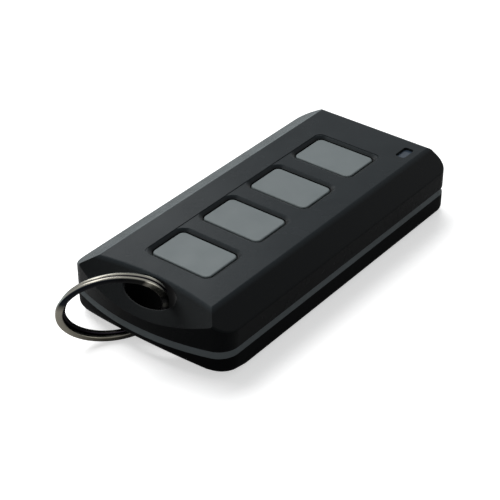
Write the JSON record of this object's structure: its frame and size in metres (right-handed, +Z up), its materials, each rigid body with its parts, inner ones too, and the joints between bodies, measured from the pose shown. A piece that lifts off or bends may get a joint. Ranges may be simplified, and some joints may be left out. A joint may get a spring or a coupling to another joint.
{
  "type": "key-ring remote transmitter",
  "caption": "Hand-held remote transmitter with four grey press keys in a black two-part housing, on a steel split ring.",
  "frame": {"origin": "middle of the housing on its flat underside", "axes": "+Z up out of the key face, +Y along the housing away from the split ring, +X to the right seen from above"},
  "size_m": [0.038, 0.0895, 0.0199],
  "materials": {
    "housing_top": "fine satin moulded texture",
    "housing_bottom": "fine satin moulded texture",
    "seal_grey": "smooth, slightly glossy",
    "key_grey": "satin, even grey",
    "lamp_window": "dark translucent, polished",
    "ring_steel": "polished nickel plate",
    "board": "solder mask",
    "dark_parts": "moulded",
    "pale_parts": "ceramic and pale moulding",
    "cell_steel": "drawn and plated",
    "contact_metal": "stamped strip",
    "screw_steel": "dark zinc",
    "copper": "stamped copper"
  },
  "bodies": {
    "housing": {"top_cover": "housing_top", "bottom_cover": "housing_bottom", "parting_seal": "seal_grey", "light_pipe": "lamp_window", "circuit_board": "board", "cell_can": "cell_steel", "cell_cap": "cell_steel", "cell_gasket": "seal_grey", "cell_electrodes": "dark_parts", "battery_clip": "contact_metal", "negative_contact": "contact_metal", "microcontroller": "dark_parts", "rf_chip": "dark_parts", "crystal": "cell_steel", "capacitors": "pale_parts", "resistors": "dark_parts", "antenna": "copper", "led": "pale_parts", "cover_screws": "screw_steel", "switch_body_1": "dark_parts", "switch_body_2": "dark_parts", "switch_body_3": "dark_parts", "switch_body_4": "dark_parts"},
    "key_1": {"key_1": "key_grey", "plunger_1": "pale_parts"},
    "key_2": {"key_2": "key_grey", "plunger_2": "pale_parts"},
    "key_3": {"key_3": "key_grey", "plunger_3": "pale_parts"},
    "key_4": {"key_4": "key_grey", "plunger_4": "pale_parts"},
    "ring": {"split_ring": "ring_steel"}
  },
  "joints": [
    {"name": "key_1_press", "type": "slide", "parent": "housing", "child": "key_1", "axis": [0, 0, -1], "range_m": [0, 0.0003], "stiffness_N_per_m": 1500, "springref_m": -0.0004},
    {"name": "key_2_press", "type": "slide", "parent": "housing", "child": "key_2", "axis": [0, 0, -1], "range_m": [0, 0.0003], "stiffness_N_per_m": 1500, "springref_m": -0.0004},
    {"name": "key_3_press", "type": "slide", "parent": "housing", "child": "key_3", "axis": [0, 0, -1], "range_m": [0, 0.0003], "stiffness_N_per_m": 1500, "springref_m": -0.0004},
    {"name": "key_4_press", "type": "slide", "parent": "housing", "child": "key_4", "axis": [0, 0, -1], "range_m": [0, 0.0003], "stiffness_N_per_m": 1500, "springref_m": -0.0004},
    {"name": "ring_swing", "type": "hinge", "parent": "housing", "child": "ring", "pos_m": [0, -0.037, 0.0065], "axis": [1, 0, 0], "range_deg": [0, 25]}
  ]
}
